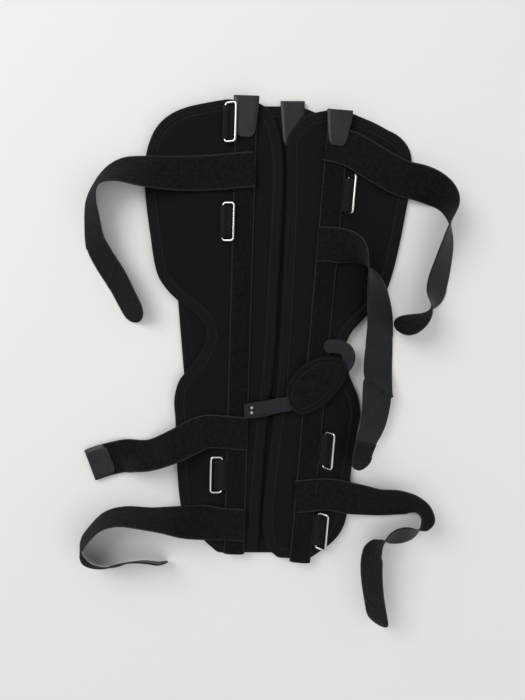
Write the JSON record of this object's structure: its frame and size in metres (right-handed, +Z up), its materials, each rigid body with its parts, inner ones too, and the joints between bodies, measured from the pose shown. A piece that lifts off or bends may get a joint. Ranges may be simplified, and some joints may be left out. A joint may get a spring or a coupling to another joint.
{
  "type": "knee immobilizer",
  "caption": "Tri-panel foam knee immobilizer lying open, with bound edges, stay pockets, hook-and-loop straps, wire rings and a padded kneecap strap.",
  "frame": {"origin": "on the surface it lies on, under the middle of the whole lying brace", "axes": "+Z up, away from the surface; +Y along the leg towards the thigh end; +X to the right as seen from above"},
  "size_m": [0.427, 0.5986, 0.0491],
  "materials": {
    "laminate": "brushed loop face on foam",
    "binding": "matt woven tape",
    "velour": "matt loop velour",
    "webbing": "matt woven webbing",
    "vinyl": "satin coated vinyl",
    "elastic": "ribbed elastic",
    "nickel": "bright nickel plate"
  },
  "bodies": {
    "brace": {"back_panel": "laminate", "left_panel": "laminate", "right_panel": "laminate", "back_binding": "binding", "left_binding": "binding", "right_binding": "binding", "left_pocket": "velour", "right_pocket": "velour", "left_vinyl_tab": "vinyl", "right_vinyl_tab": "vinyl", "back_vinyl_tab": "vinyl", "left_calf_hook_tab": "vinyl", "left_thigh_strap": "velour", "left_calf_strap": "velour", "left_ankle_strap": "velour", "right_thigh_strap": "velour", "right_knee_strap": "velour", "right_ankle_strap": "velour", "left_top_ring_loop": "webbing", "left_thigh_ring_loop": "webbing", "left_calf_ring_loop": "webbing", "right_thigh_ring_loop": "webbing", "right_calf_ring_loop": "webbing", "right_ankle_ring_loop": "webbing", "knee_pad": "velour", "knee_pad_binding": "binding", "knee_pad_elastic_left": "elastic", "knee_pad_elastic_right": "elastic", "knee_pad_rivet_upper": "nickel", "knee_pad_rivet_lower": "nickel"},
    "left_top_ring": {"left_top_ring": "nickel"},
    "left_thigh_ring": {"left_thigh_ring": "nickel"},
    "left_calf_ring": {"left_calf_ring": "nickel"},
    "right_thigh_ring": {"right_thigh_ring": "nickel"},
    "right_calf_ring": {"right_calf_ring": "nickel"},
    "right_ankle_ring": {"right_ankle_ring": "nickel"}
  },
  "joints": [
    {"name": "left_top_ring_swing", "type": "hinge", "parent": "brace", "child": "left_top_ring", "pos_m": [-0.04088, 0.26889, 0.01515], "axis": [0.0314, 0.9995, 0], "range_deg": [-154, 0]},
    {"name": "left_thigh_ring_swing", "type": "hinge", "parent": "brace", "child": "left_thigh_ring", "pos_m": [-0.04418, 0.1639, 0.01365], "axis": [0.0314, 0.9995, 0], "range_deg": [-162, 0]},
    {"name": "left_calf_ring_swing", "type": "hinge", "parent": "brace", "child": "left_calf_ring", "pos_m": [-0.04683, -0.11896, 0.01365], "axis": [0.0314, 0.9995, 0], "range_deg": [-4, 146]},
    {"name": "right_thigh_ring_swing", "type": "hinge", "parent": "brace", "child": "right_thigh_ring", "pos_m": [0.09185, 0.19215, 0.01365], "axis": [-0.0802, -0.9968, 0], "range_deg": [-58, 92]},
    {"name": "right_calf_ring_swing", "type": "hinge", "parent": "brace", "child": "right_calf_ring", "pos_m": [0.06917, -0.08974, 0.01365], "axis": [-0.0802, -0.9968, 0], "range_deg": [-42, 108]},
    {"name": "right_ankle_ring_swing", "type": "hinge", "parent": "brace", "child": "right_ankle_ring", "pos_m": [0.06164, -0.18336, 0.01365], "axis": [-0.0802, -0.9968, 0], "range_deg": [-30, 120]}
  ]
}
